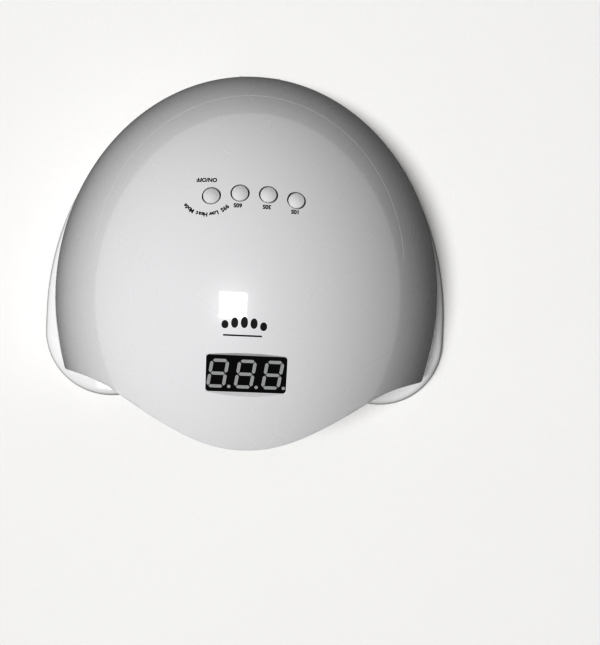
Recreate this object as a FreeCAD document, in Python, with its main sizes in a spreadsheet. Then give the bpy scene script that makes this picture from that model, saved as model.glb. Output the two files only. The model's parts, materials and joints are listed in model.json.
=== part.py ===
import FreeCAD, Part
import itertools
import math
import os

# Lamp for hardening resin and gel with ultraviolet light: a domed housing that
# lifts off a flat tray. Millimetres. Origin at the centre of the footprint,
# +Z up, -Y the side with the display and the hand opening, +Y the supply inlet.

Vector = FreeCAD.Vector
Rotation = FreeCAD.Rotation
Placement = FreeCAD.Placement
ACROSS = Vector(1, 0, 0)
REARWARD = Vector(0, 1, 0)
UP = Vector(0, 0, 1)

doc = FreeCAD.newDocument("uv_curing_lamp")

# ---------------------------------------------------------------- dimensions

DIMENSIONS = {
    # outer dome: the upper half of an ellipsoid
    "dome_half_width": 111.0, "dome_half_length": 128.2, "dome_half_rise": 99.5,
    "dome_centre_y": -26.5, "wall": 2.2, "shell_bottom": 9.5,
    "crease_height": 70.0, "crease_start": -6.0, "crease_width": 0.6,
    "crease_depth": 0.2, "crease_fall": 6.8,
    "overall_half_length": 102.45,
    # tray
    "tray_half_width": 117.4, "tray_half_length": 138.8, "tray_centre_y": -38.0,
    "horn_radius": 38.0, "horn_front": -87.0, "tray_middle": -76.0,
    "tray_bottom": 1.5, "tray_top": 8.0, "tray_edge_radius": 3.8, "tray_skin": 3.4,
    "tray_wall": 5.0, "sheet_half_width": 85.0, "sheet_half_length": 130.0,
    "sheet_front": -70.0, "sheet_thickness": 0.8, "sheet_recess": 1.4,
    "foot_radius": 7.0, "magnet_radius": 4.0, "magnet_height": 1.5,
    # base frame ring
    "frame_bottom": 8.3, "frame_height": 2.5, "frame_half_width": 107.6,
    "frame_half_length": 124.7, "frame_front": -69.6, "hole_gap": 0.1,
    # reflector vault over the hand space
    "vault_half_width": 94.0, "vault_half_length": 141.0, "vault_rise": 64.0,
    "vault_centre_y": -60.0, "vault_wall": 1.2,
    # light-emitting diodes and their flexible strips
    "strip_gap": 0.4, "strip_thickness": 1.0, "bead_side": 3.5, "bead_height": 2.2,
    "bead_back": 0.3, "lens_radius": 2.6, "led_hole_radius": 3.0,
    # display
    "display_y": -64.9, "display_depth": 1.75, "module_width": 37.0,
    "module_length": 17.4, "module_height": 8.0, "module_corner": 1.2,
    "window_gap": 0.1, "window_bevel": 2.2, "digit_pitch": 12.7, "digit_height": 14.2,
    "segment_width": 1.7, "segment_rise": 0.15, "digit_slant": 8.0,
    "digit_width": 7.2, "digit_shift": -0.5, "dot_radius": 0.9, "dot_place": 5.3,
    # hand sensor
    "sensor_y": -60.0, "sensor_spacing": 8.0, "sensor_radius": 1.5,
    "sensor_hole_radius": 2.1, "sensor_bottom": 62.0, "sensor_board_bottom": 66.2,
    "sensor_board_thickness": 1.2, "sensor_board_width": 16.0,
    "sensor_board_length": 8.0,
    # circuit boards
    "board_width": 58.0, "board_length": 24.0, "board_thickness": 1.6,
    "board_y": 18.4, "board_depth": 10.6, "post_radius": 2.4,
    "display_board_width": 50.0, "display_board_length": 24.0,
    # buttons
    "outer_button_y": 17.5, "inner_button_y": 19.3, "button_rounding": 0.8,
    "button_pitch": 13.2, "button_radius": 3.9, "button_hole_radius": 4.25,
    "button_proud": 0.5, "button_flange_radius": 5.0, "button_flange_top": 3.6,
    "button_flange_height": 0.8, "plunger_radius": 1.75, "plunger_bore": 1.85,
    "switch_side": 6.0, "switch_height": 3.5, "plunger_entry": 0.8,
    "plunger_bore_depth": 1.8,
    # supply inlet
    "jack_axis_z": 16.3, "jack_width": 9.0, "jack_height": 11.0, "jack_back": 81.5,
    "jack_front": 95.5, "jack_barrel_radius": 4.0, "jack_mouth": 97.7,
    "jack_bore_radius": 3.2, "jack_pin_radius": 1.0, "jack_pin_back": 84.5,
    "jack_pin_proud": 0.6, "panel_thickness": 2.0, "panel_width": 24.0, "panel_height": 14.0,
    "notch_width": 24.6, "notch_top": 22.0,
    # fasteners and wires
    "screw_head_radius": 2.7, "screw_head_height": 1.2, "screw_radius": 1.4,
    "screw_length": 12.0, "boss_radius": 4.0, "boss_height": 75.0,
    "small_screw_head_radius": 1.9, "small_screw_head_height": 1.0,
    "small_screw_radius": 0.9, "small_screw_length": 5.0, "tab_screw_length": 1.2,
    "tab_side": 9.0, "tab_thickness": 1.2, "tab_screw_shift": 1.5,
    "lead_radius": 0.8, "ribbon_width": 14.0, "ribbon_half_thickness": 0.15,
}

sheet = doc.addObject("Spreadsheet::Sheet", "dims")
rows = itertools.count(1)


def note(alias, value):
    """Write one size into the dimension sheet."""
    row = next(rows)
    sheet.set("A%d" % row, alias.replace("_", " "))
    sheet.set("B%d" % row, str(value))
    sheet.setAlias("B%d" % row, alias)


for alias, value in DIMENSIONS.items():
    note(alias, value)
doc.recompute()


def dim(alias):
    return float(sheet.get(alias))


# ------------------------------------------------------------------- helpers

def bound(kind, name, placement=None, **formulas):
    """Add a Part object whose sizes are bound to the dimension sheet."""
    item = doc.addObject("Part::" + kind, name)
    item.Label = name
    for size, formula in formulas.items():
        item.setExpression(size, formula)
    if placement is not None:
        item.Placement = placement
    return item


def cut(name, base, *tools):
    """Take the tools away one after another; the last cut carries the name."""
    for step, tool in enumerate(tools, start=1):
        last = step == len(tools)
        item = doc.addObject("Part::Cut", name if last else "%s_cut_%d" % (name, step))
        item.Base = base
        item.Tool = tool
        base = item
    item.Label = name
    return item


def fuse(name, *pieces):
    item = doc.addObject("Part::MultiFuse", name)
    item.Label = name
    item.Shapes = list(pieces)
    return item


def common(name, first, second):
    item = doc.addObject("Part::Common", name)
    item.Label = name
    item.Base = first
    item.Tool = second
    return item


def group(name, pieces):
    """Several separate solids kept as one sub-part."""
    item = doc.addObject("Part::Compound", name)
    item.Label = name
    item.Links = list(pieces)
    return item


def shaped(name, shape, placement=None):
    """A sub-part whose outline neither a primitive nor a body can draw."""
    item = doc.addObject("Part::Feature", name)
    item.Label = name
    item.Shape = shape
    if placement is not None:
        item.Placement = placement
    return item


def at(x, y, z):
    return Placement(Vector(x, y, z), Rotation())


def along_y(x, y, z):
    """A place whose local Z points to the rear."""
    return Placement(Vector(x, y, z), Rotation(ACROSS, -90))


def ellipsoid(name, half_width, half_length, half_rise, centre_y):
    """An ellipsoid with its poles at the sides and its seam under the front."""
    turn = Rotation(ACROSS, 180).multiply(Rotation(Vector(1, 1, 1), 120))
    place = Placement(Vector(0, centre_y, 0), turn)
    return bound("Ellipsoid", name, place, Radius1=half_width,
                 Radius2=half_length, Radius3=half_rise)


def dome(name, inset):
    return ellipsoid(name, "dims.dome_half_width - (%s)" % inset,
                     "dims.dome_half_length - (%s)" % inset,
                     "dims.dome_half_rise - (%s)" % inset, dim("dome_centre_y"))


def vault(name, outset):
    return ellipsoid(name, "dims.vault_half_width + %s" % outset,
                     "dims.vault_half_length + %s" % outset,
                     "dims.vault_rise + %s" % outset, dim("vault_centre_y"))


def box(name, low, high, frame=None):
    """A box between two corners, in an optional local frame."""
    sides = {}
    for side, start, end in zip(("Length", "Width", "Height"), low, high):
        alias = "%s_%s" % (name, side.lower())
        note(alias, end - start)
        sides[side] = "dims." + alias
    place = at(*low) if frame is None else frame.multiply(at(*low))
    return bound("Box", name, place, **sides)


def elliptic_disc(name, half_width, half_length, centre_y, bottom, height):
    """A flat elliptic disc."""
    rim = bound("Ellipse", name + "_rim", MajorRadius=half_length,
                MinorRadius=half_width)
    rim.Placement = Placement(Vector(0, dim(centre_y), dim(bottom)), Rotation(UP, 90))
    disc = doc.addObject("Part::Extrusion", name)
    disc.Label = name
    disc.Base = rim
    disc.Dir = UP
    disc.Solid = True
    disc.setExpression("LengthFwd", height)
    return disc


def dome_height(x, y):
    """Height of the outer dome above a point of the plan."""
    across = x / dim("dome_half_width")
    along = (y - dim("dome_centre_y")) / dim("dome_half_length")
    return dim("dome_half_rise") * math.sqrt(1 - across ** 2 - along ** 2)


def dome_slope(y):
    """Angle of the dome's middle line, positive where it rises to the rear."""
    step = 0.1
    rise = dome_height(0, y + step) - dome_height(0, y - step)
    return math.degrees(math.atan(rise / (2 * step)))


def tube(name, points, radius, width=None):
    """A round lead, or a flat one of the given width, through rounded corners."""
    edges = []
    start = points[0]
    for before, corner, after in zip(points, points[1:], points[2:]):
        back = (before - corner).normalize()
        onward = (after - corner).normalize()
        turn = math.pi - back.getAngle(onward)
        run = min((before - corner).Length, (after - corner).Length)
        reach = 0.45 * run
        middle = (back + onward).normalize()
        bend = reach / math.tan(turn / 2)
        depth = bend / math.cos(turn / 2) - bend
        first = corner + back * reach
        last = corner + onward * reach
        edges.append(Part.LineSegment(start, first).toShape())
        edges.append(Part.Arc(first, corner + middle * depth, last).toShape())
        start = last
    edges.append(Part.LineSegment(start, points[-1]).toShape())
    heading = (points[1] - points[0]).normalize()
    if width is None:
        section = Part.Wire([Part.Circle(points[0], heading, radius).toShape()])
    else:
        side = ACROSS * (width / 2)
        lift = ACROSS.cross(heading) * radius
        corners = [points[0] + side + lift, points[0] - side + lift,
                   points[0] - side - lift, points[0] + side - lift]
        section = Part.makePolygon(corners + corners[:1])
    pipe = Part.BRepOffsetAPI.MakePipeShell(Part.Wire(edges))
    pipe.add(section)
    pipe.build()
    pipe.makeSolid()
    return shaped(name, pipe.shape())


def screw(name, place, kind, length):
    """A pan-head screw, head first, with its shank along the place's local Z."""
    head = bound("Cylinder", name + "_head", place, Radius="dims.%s_head_radius" % kind,
                 Height="dims.%s_head_height" % kind)
    shank = bound("Cylinder", name + "_shank",
                  place.multiply(at(0, 0, dim(kind + "_head_height"))),
                  Radius="dims.%s_radius" % kind, Height=length)
    return fuse(name, head, shank)


# -------------------------------------------------- the opening's side profile

# Seen from the side, the front edge climbs almost upright from the tray and
# then sweeps forward into a visor. Each point is a Y and a Z.
VISOR_PROFILE = [(-69.6, 0), (-70.1, 30), (-71, 56.5), (-72.8, 64.5), (-75.6, 69.8),
                 (-80, 73.7), (-85, 76.5), (-92, 78.9), (-102.5, 80.1), (-135, 80.6)]


def front_space(name, shift_y, shift_z):
    """Everything in front of and under the visor's edge."""
    points = [Vector(-150, y, z) for y, z in VISOR_PROFILE]
    edge = Part.BSplineCurve()
    edge.interpolate(points)
    far = points[-1] - REARWARD * 130
    below = [points[-1], far, far - UP * 90, points[0] - UP * 10, points[0]]
    outline = Part.Wire([edge.toShape()] + Part.makePolygon(below).Edges)
    solid = Part.Face(outline).extrude(ACROSS * 300)
    return shaped(name, solid, at(0, shift_y, shift_z))


opening = front_space("opening_space", 0, 0)
opening_behind = front_space("opening_space_behind", 2.3, 2.0)

# -------------------------------------------------------------- local frames

display_frame = Placement(Vector(0, dim("display_y"), dome_height(0, dim("display_y"))),
                          Rotation(ACROSS, dome_slope(dim("display_y"))))
board_slope = Rotation(ACROSS, dome_slope(dim("board_y")))
board_frame = Placement(Vector(0, dim("board_y"), dome_height(0, dim("board_y"))),
                        board_slope).multiply(at(0, 0, -dim("board_depth")))


def button_frame(index):
    """Frame on the dome's surface at one button, local Z out of the shell."""
    x = (index - 1.5) * dim("button_pitch")
    y = dim("inner_button_y" if index in (1, 2) else "outer_button_y")
    return Placement(Vector(x, y, dome_height(x, y)), board_slope)


# ---------------------------------------------------------------------- tray

def tray_outline(inset):
    """Half ellipse behind, rounded horns and a hollow front between them."""
    half_width = dim("tray_half_width") - inset
    half_length = dim("tray_half_length") - inset
    centre = Vector(0, dim("tray_centre_y"), 0)
    rear = Part.Ellipse(centre + REARWARD * half_length, centre + ACROSS * half_width,
                        centre)
    rear_edge = Part.Edge(rear, -math.pi / 2, math.pi / 2)
    horn = dim("horn_radius") - inset
    horn_x = half_width - horn
    horn_y = dim("horn_front") + dim("horn_radius")
    middle_y = dim("tray_middle") + inset
    reach = horn_y - middle_y
    hollow = (horn_x ** 2 + reach ** 2 - horn ** 2) / (2 * (horn - reach))
    meet = horn / (horn + hollow)
    meet_x = horn_x * (1 - meet)
    meet_y = horn_y - (reach + hollow) * meet
    turn = Vector(math.cos(math.radians(-40)), math.sin(math.radians(-40)), 0)
    edges = [rear_edge]
    for side in (1, -1):
        edges.append(Part.LineSegment(Vector(side * half_width, dim("tray_centre_y"), 0),
                                      Vector(side * half_width, horn_y, 0)).toShape())
        edges.append(Part.Arc(Vector(side * half_width, horn_y, 0),
                              Vector(side * (horn_x + horn * turn.x),
                                     horn_y + horn * turn.y, 0),
                              Vector(side * meet_x, meet_y, 0)).toShape())
    edges.append(Part.Arc(Vector(-meet_x, meet_y, 0), Vector(0, middle_y, 0),
                          Vector(meet_x, meet_y, 0)).toShape())
    return Part.Face(Part.Wire(Part.__sortEdges__(edges)))


def tray_plate():
    """The tray's moulded plate with a rounded upper edge and a hollow underside."""
    height = dim("tray_top") - dim("tray_bottom")
    plate = tray_outline(0).extrude(UP * height)
    upper = [edge for edge in plate.Edges if edge.BoundBox.ZMin > height - 0.01]
    plate = plate.makeFillet(dim("tray_edge_radius"), upper)
    hollow = tray_outline(dim("tray_wall")).extrude(UP * (height - dim("tray_skin")))
    return plate.cut(hollow)


FOOT_PLACES = [(-92, -62), (92, -62), (-78, 44), (78, 44), (0, 84), (0, -66)]
MAGNET_PLACES = [(-99, -26), (99, -26), (-37, 80), (37, 80)]

plate = shaped("tray_plate", tray_plate(), at(0, 0, dim("tray_bottom")))
foot_pads = [bound("Cylinder", "foot_pad_%d" % i, at(x, y, dim("tray_bottom")),
                   Radius="dims.foot_radius + 1",
                   Height="dims.tray_top - dims.tray_bottom - dims.sheet_recess - 1")
             for i, (x, y) in enumerate(FOOT_PLACES)]
magnet_pads = [bound("Cylinder", "magnet_pad_%d" % i, at(x, y, dim("tray_bottom")),
                     Radius="dims.magnet_radius + 1.5",
                     Height="dims.tray_top - dims.tray_bottom - 1")
               for i, (x, y) in enumerate(MAGNET_PLACES)]
magnet_wells = [bound("Cylinder", "magnet_well_%d" % i, at(x, y, dim("tray_bottom") - 1),
                      Radius="dims.magnet_radius",
                      Height="dims.tray_top - dims.tray_bottom + 0.5")
                for i, (x, y) in enumerate(MAGNET_PLACES)]


def sheet_blank(name, outset, bottom, height):
    disc = elliptic_disc(name + "_disc", "dims.sheet_half_width + %s" % outset,
                     "dims.sheet_half_length + %s" % outset, "vault_centre_y",
                     "tray_top", height)
    disc.Base.Placement.Base.z = bottom
    front = box(name + "_front", (-130, -200, 0), (130, dim("sheet_front") - outset, 12))
    return cut(name, disc, front)


recess_floor = dim("tray_top") - dim("sheet_recess")
sheet_recess = sheet_blank("sheet_recess", 0.2, recess_floor, "dims.sheet_recess + 1")
sheet_blank("tray_reflector_sheet", 0, recess_floor, "dims.sheet_thickness")
tray_solid = fuse("tray_solid", plate, *(foot_pads + magnet_pads))
cut("base_tray", tray_solid, sheet_recess, *magnet_wells)
group("tray_magnets", [
    bound("Cylinder", "tray_magnet_%d" % i,
          at(x, y, dim("tray_top") - 0.5 - dim("magnet_height")),
          Radius="dims.magnet_radius", Height="dims.magnet_height")
    for i, (x, y) in enumerate(MAGNET_PLACES)])
group("rubber_feet", [
    bound("Cylinder", "rubber_foot_%d" % i, at(x, y, 0),
          Radius="dims.foot_radius", Height="dims.tray_bottom")
    for i, (x, y) in enumerate(FOOT_PLACES)])

# ----------------------------------------------------------------- top shell

SCREW_PLACES = [(-98.6, -52), (98.6, -52), (-95, 5), (95, 5), (-62, 61), (62, 61)]
BOARD_SCREWS = [(-25.8, -8.5), (25.8, -8.5), (-25.8, 8.5), (25.8, 8.5)]
DISPLAY_SCREWS = [(-21.8, -8), (21.8, -8), (-21.8, 8), (21.8, 8)]


def crowned_dome():
    """The dome with the fine groove that runs round its rear and sides."""
    fall = Placement(Vector(0, dim("crease_start"), dim("crease_height")),
                     Rotation(ACROSS, -dim("crease_fall")))
    band = box("crease_band", (-130, 0, 0), (130, 130, dim("crease_width")), fall)
    waste = cut("crease_waste", band, dome("crease_floor", "dims.crease_depth"))
    return cut("dome_crowned", dome("dome_blank", "0"), waste)


def window_cutter():
    """The display window: straight sides, sloped upper and lower walls."""
    half_width = dim("module_width") / 2 + dim("window_gap")
    half_length = dim("module_length") / 2 + dim("window_gap")
    face = -dim("display_depth")
    bevel = dim("window_bevel")
    low_x, high_x = -half_width, half_width
    shaft = Part.makeBox(2 * half_width, 2 * half_length, 14,
                         Vector(low_x, -half_length, -10))
    upright = [edge for edge in shaft.Edges if abs(edge.tangentAt(0).z) > 0.9]
    shaft = shaft.makeFillet(dim("module_corner"), upright)
    mouth_points = [Vector(low_x, -half_length, face), Vector(low_x, half_length, face),
                    Vector(low_x, half_length + 2 * bevel, face + 2 * bevel),
                    Vector(low_x, -half_length - 2 * bevel, face + 2 * bevel)]
    mouth = Part.Face(Part.makePolygon(mouth_points + mouth_points[:1]))
    mouth = mouth.extrude(ACROSS * (high_x - low_x))
    return shaped("window_cutter", shaft.fuse(mouth), display_frame)


def shell_posts():
    """Screw bosses up from the frame and posts down to the circuit boards."""
    bosses = [bound("Cylinder", "boss_%d" % i,
                    at(x, y, dim("frame_bottom") + dim("frame_height")),
                    Radius="dims.boss_radius", Height="dims.boss_height")
              for i, (x, y) in enumerate(SCREW_PLACES)]
    posts = []
    for i, (x, y) in enumerate(BOARD_SCREWS):
        posts.append(bound("Cylinder", "board_post_%d" % i,
                           board_frame.multiply(at(x, y, 0)),
                           Radius="dims.post_radius", Height="dims.board_depth + 4"))
    for i, (x, y) in enumerate(DISPLAY_SCREWS):
        depth = -dim("display_depth") - dim("module_height")
        posts.append(bound("Cylinder", "display_post_%d" % i,
                           display_frame.multiply(at(x, y, depth)),
                           Radius="dims.post_radius - 0.4", Height="dims.board_depth"))
    columns = fuse("shell_columns", *(bosses + posts))
    limit = dome("columns_limit", "dims.wall - 0.1")
    return common("shell_columns_trimmed", columns, limit)


below_shell = box("below_shell", (-150, -170, -150), (150, 150, dim("shell_bottom")))
button_holes = [bound("Cylinder", "button_hole_%d" % i,
                      button_frame(i).multiply(at(0, 0, -6)),
                      Radius="dims.button_hole_radius", Height="12")
                for i in range(4)]
notch = box("inlet_notch", (-dim("notch_width") / 2, 80, 0),
            (dim("notch_width") / 2, 120, dim("notch_top")))
skin = cut("shell_skin", crowned_dome(), dome("shell_inside", "dims.wall"))
openings = [below_shell, opening, window_cutter(), notch,
            group("button_holes", button_holes)]
opened = cut("shell_opened", skin, *openings)
columns = shell_posts()
boss_bores = [bound("Cylinder", "boss_bore_%d" % i, at(x, y, 0),
                    Radius="dims.screw_radius", Height="dims.frame_bottom + "
                    "dims.screw_head_height + dims.screw_length")
              for i, (x, y) in enumerate(SCREW_PLACES)]
small_bores = [bound("Cylinder", "board_bore_%d" % i,
                     board_frame.multiply(at(x, y, -4)), Radius="dims.small_screw_radius",
                     Height="4 + dims.small_screw_length - dims.board_thickness")
               for i, (x, y) in enumerate(BOARD_SCREWS)]
small_bores += [bound("Cylinder", "display_bore_%d" % i,
                      display_frame.multiply(at(x, y, -14)),
                      Radius="dims.small_screw_radius",
                      Height="14 - dims.display_depth - dims.module_height + 3.4")
                for i, (x, y) in enumerate(DISPLAY_SCREWS)]
cut("top_shell", fuse("shell_with_columns", opened, columns),
    group("shell_bores", boss_bores + small_bores))

# ---------------------------------------------------------------- base frame

frame_top = dim("frame_bottom") + dim("frame_height")
ring = elliptic_disc("frame_disc", "dims.frame_half_width", "dims.frame_half_length",
                     "dome_centre_y", "frame_bottom", "dims.frame_height")
hand_hole = elliptic_disc("frame_hand_hole", "dims.vault_half_width + 0.2",
                      "dims.vault_half_length + 0.2", "vault_centre_y", "tray_bottom",
                      "dims.frame_bottom + dims.frame_height")
frame_front = box("frame_front", (-150, -250, 0), (150, dim("frame_front"), 30))
half_panel = dim("panel_width") / 2
tongue = box("frame_tongue", (-half_panel, 92, dim("frame_bottom")),
             (half_panel, dim("overall_half_length"), frame_top))
panel = box("inlet_panel", (-half_panel, dim("jack_front"), frame_top - 0.5),
            (half_panel, dim("jack_front") + dim("panel_thickness"),
             frame_top + dim("panel_height")))
panel_limited = common("inlet_panel_trimmed", panel, dome("panel_limit", "dims.wall + 0.1"))
jack_hole = bound("Cylinder", "jack_panel_hole", along_y(0, 90, dim("jack_axis_z")),
                  Radius="dims.jack_barrel_radius + dims.hole_gap", Height="20")
frame_solid = fuse("frame_solid", ring, tongue, panel_limited)
through_holes = [bound("Cylinder", "frame_screw_hole_%d" % i, at(x, y, 0),
                       Radius="dims.screw_radius + dims.hole_gap", Height="30")
                 for i, (x, y) in enumerate(SCREW_PLACES)]
recesses = [bound("Cylinder", "frame_head_recess_%d" % i, at(x, y, 0),
                  Radius="dims.screw_head_radius + dims.hole_gap",
                  Height="dims.frame_bottom + dims.screw_head_height")
            for i, (x, y) in enumerate(SCREW_PLACES)]
recesses += [bound("Cylinder", "frame_magnet_pocket_%d" % i, at(x, y, 0),
                   Radius="dims.magnet_radius",
                   Height="dims.frame_bottom + dims.magnet_height")
             for i, (x, y) in enumerate(MAGNET_PLACES)]
cut("base_frame", frame_solid, hand_hole, frame_front,
    group("frame_holes", through_holes + [jack_hole]), group("frame_recesses", recesses))
group("housing_magnets", [
    bound("Cylinder", "housing_magnet_%d" % i, at(x, y, dim("frame_bottom")),
          Radius="dims.magnet_radius", Height="dims.magnet_height")
    for i, (x, y) in enumerate(MAGNET_PLACES)])
group("housing_screws", [
    screw("housing_screw_%d" % i, at(x, y, dim("frame_bottom")),
          "screw", "dims.screw_length")
    for i, (x, y) in enumerate(SCREW_PLACES)])

# ----------------------------------------------------- reflector and its trim

TAB_PLACES = [(-95.5, -38), (95.5, -38), (-21, 80), (21, 80)]


def led_places():
    """Position and outward normal of each light on the vault, by group."""
    half_width = dim("vault_half_width")
    half_length = dim("vault_half_length")
    rise = dim("vault_rise")
    centre_y = dim("vault_centre_y")

    def placed(x, y, z):
        normal = Vector(x / half_width ** 2, (y - centre_y) / half_length ** 2,
                        z / rise ** 2).normalize()
        return Vector(x, y, z), normal

    def on_side(side, y, z):
        part = 1 - ((y - centre_y) / half_length) ** 2 - (z / rise) ** 2
        return placed(side * half_width * math.sqrt(part), y, z)

    def on_rear(x, z):
        part = 1 - (x / half_width) ** 2 - (z / rise) ** 2
        return placed(x, centre_y + half_length * math.sqrt(part), z)

    places = {}
    for side, word in ((-1, "left"), (1, "right")):
        places[word + "_lower"] = [on_side(side, -52 + 21.5 * i, 24) for i in range(5)]
        places[word + "_upper"] = [on_side(side, -58 + 18 * i, 44) for i in range(5)]
    places["rear"] = [on_rear(-27 + 18 * i, 24) for i in range(4)]
    return places


LEDS = led_places()
STRIP_ZONES = {
    "left_lower": ((-120, -60, 19.5), (-50, 40, 28.5)),
    "right_lower": ((50, -60, 19.5), (120, 40, 28.5)),
    "left_upper": ((-120, -65, 39.5), (-38, 20, 48.5)),
    "right_upper": ((38, -65, 39.5), (120, 20, 48.5)),
    "rear": ((-34, 40, 19.5), (34, 100, 28.5)),
}


def inward(position, normal, back):
    """A place whose local Z points into the hand space."""
    return Placement(position + normal * back, Rotation(UP, normal * -1))


all_leds = [place for places in LEDS.values() for place in places]
led_holes = [bound("Cylinder", "led_hole_%d" % i, inward(position, normal, 4),
                   Radius="dims.led_hole_radius", Height="8")
             for i, (position, normal) in enumerate(all_leds)]
SENSOR_PLACES = [(side * dim("sensor_spacing") / 2, dim("sensor_y")) for side in (-1, 1)]
sensor_holes = [bound("Cylinder", "sensor_hole_%d" % i, at(x, y, 55),
                      Radius="dims.sensor_hole_radius", Height="12")
                for i, (x, y) in enumerate(SENSOR_PLACES)]
vault_outside = vault("vault_outside", "0")
vault_inside = vault("vault_inside", "(-dims.vault_wall)")
half_tab = dim("tab_side") / 2
tabs = [box("vault_tab_%d" % i, (x - half_tab, y - half_tab, frame_top),
            (x + half_tab, y + half_tab, frame_top + dim("tab_thickness")))
        for i, (x, y) in enumerate(TAB_PLACES)]


def tab_screw_x(x):
    return x + math.copysign(dim("tab_screw_shift"), x)


tab_bores = [bound("Cylinder", "tab_bore_%d" % i, at(tab_screw_x(x), y, 0),
                   Radius="dims.small_screw_radius", Height="30")
             for i, (x, y) in enumerate(TAB_PLACES)]
below_vault = box("below_vault", (-150, -250, -80), (150, 150, dim("frame_bottom") + 0.2))
vault_solid = fuse("vault_solid", vault_outside, *tabs)
vault_skin = cut("vault_skin", vault_solid, vault_inside)
cut("inner_reflector", vault_skin, below_vault, opening,
    group("vault_holes", led_holes + sensor_holes + tab_bores))

trim_band = cut("trim_band", opening_behind, opening)
trim_blank = common("trim_blank", trim_band, dome("trim_limit", "dims.wall + 0.2"))
below_trim = box("below_trim", (-150, -250, -150), (150, 150, frame_top))
cut("opening_trim", trim_blank, vault("trim_inside", "0.15"), below_trim)

for word, (low, high) in STRIP_ZONES.items():
    outside = vault("strip_outside_" + word, "dims.strip_gap + dims.strip_thickness")
    band = cut("strip_band_" + word, outside, vault("strip_inside_" + word,
                                                    "dims.strip_gap"))
    common("led_strip_" + word, band, box("strip_zone_" + word, low, high))

beads = []
lenses = []
for i, (position, normal) in enumerate(all_leds):
    half = dim("bead_side") / 2
    seat = inward(position, normal, dim("bead_back"))
    beads.append(bound("Box", "led_bead_%d" % i, seat.multiply(at(-half, -half, 0)),
                       Length="dims.bead_side", Width="dims.bead_side",
                       Height="dims.bead_height"))
    lens = bound("Sphere", "led_lens_%d" % i, seat.multiply(at(0, 0, dim("bead_height"))),
                 Radius="dims.lens_radius")
    lens.Angle1 = 0
    lenses.append(lens)
group("led_beads", beads)
group("led_lenses", lenses)
group("reflector_screws", [
    screw("reflector_screw_%d" % i,
          Placement(Vector(tab_screw_x(x), y, frame_top + dim("tab_thickness")
                           + dim("small_screw_head_height")),
                    Rotation(ACROSS, 180)),
          "small_screw", "dims.tab_screw_length")
    for i, (x, y) in enumerate(TAB_PLACES)])

# -------------------------------------------------------------- hand sensor

bound("Box", "sensor_board",
      at(-dim("sensor_board_width") / 2, dim("sensor_y") - dim("sensor_board_length") / 2,
         dim("sensor_board_bottom")),
      Length="dims.sensor_board_width", Width="dims.sensor_board_length",
      Height="dims.sensor_board_thickness")
group("hand_sensors", [bound("Cylinder", "hand_sensor_%d" % i,
                             at(x, y, dim("sensor_bottom")),
                             Radius="dims.sensor_radius",
                             Height="dims.sensor_board_bottom - dims.sensor_bottom")
                       for i, (x, y) in enumerate(SENSOR_PLACES)])

# ------------------------------------------------------------------- display

def on_display(x, y, z):
    return display_frame.multiply(at(x, y, z))


def rounded_block(name, width, length, low, high, corner, place):
    """A block with rounded upright edges."""
    block = box(name + "_block", (-width / 2, -length / 2, low),
                (width / 2, length / 2, high), place)
    doc.recompute()
    upright = [(i + 1, corner, corner) for i, edge in enumerate(block.Shape.Edges)
               if abs(edge.Length - (high - low)) < 1e-6
               and edge.tangentAt(0).cross(place.Rotation.multVec(UP)).Length < 1e-6]
    item = doc.addObject("Part::Fillet", name)
    item.Label = name
    item.Base = block
    item.Edges = upright
    return item


FACE = -dim("display_depth")
rounded_block("display_module", dim("module_width"), dim("module_length"),
              FACE - dim("module_height"), FACE, dim("module_corner"), display_frame)


def segment_bar(length, place):
    """One bar of a digit, pointed at both ends, lying along local X."""
    half = dim("segment_width") / 2
    reach = length / 2
    corners = [(-reach, 0), (half - reach, half), (reach - half, half), (reach, 0),
               (reach - half, -half), (half - reach, -half), (-reach, 0)]
    outline = Part.makePolygon([Vector(x, y, 0) for x, y in corners])
    bar = Part.Face(outline).extrude(UP * dim("segment_rise"))
    bar.Placement = place
    return bar


def digit_shapes():
    """Seven bars and a decimal point for each of the three digits."""
    width = dim("digit_width")
    height = dim("digit_height") - dim("segment_width")
    lean = math.tan(math.radians(dim("digit_slant")))
    upright_turn = 90 - dim("digit_slant")
    bars = []
    for digit in (-1, 0, 1):
        centre = digit * dim("digit_pitch") + dim("digit_shift")
        for level in (-1, 0, 1):
            y = level * height / 2
            place = Placement(Vector(centre + y * lean, y, 0), Rotation())
            bars.append(segment_bar(width - 0.5, place))
        for side in (-1, 1):
            for level in (-1, 1):
                y = level * height / 4
                x = centre + side * width / 2 + y * lean
                place = Placement(Vector(x, y, 0), Rotation(UP, upright_turn))
                bars.append(segment_bar(height / 2 - 0.4, place))
        dot = Part.makeCylinder(dim("dot_radius"), dim("segment_rise"),
                                Vector(centre + dim("dot_place"), -height / 2, 0))
        bars.append(dot)
    return Part.makeCompound(bars)


shaped("display_segments", digit_shapes(), on_display(0, 0, FACE))


def drilled_board(name, width, length, place, screws):
    blank = bound("Box", name + "_blank", place.multiply(
        at(-dim(width) / 2, -dim(length) / 2, -dim("board_thickness"))),
        Length="dims." + width, Width="dims." + length, Height="dims.board_thickness")
    holes = [bound("Cylinder", "%s_hole_%d" % (name, i), place.multiply(at(x, y, -3)),
                   Radius="dims.small_screw_radius", Height="5")
             for i, (x, y) in enumerate(screws)]
    return cut(name, blank, *holes)


board_under_display = on_display(0, 0, FACE - dim("module_height"))
drilled_board("display_board", "display_board_width", "display_board_length",
              board_under_display, DISPLAY_SCREWS)

# ------------------------------------------------------------- control board

drilled_board("control_board", "board_width", "board_length", board_frame, BOARD_SCREWS)


def on_board(name, low, high):
    return box(name, low, high, board_frame)


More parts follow.
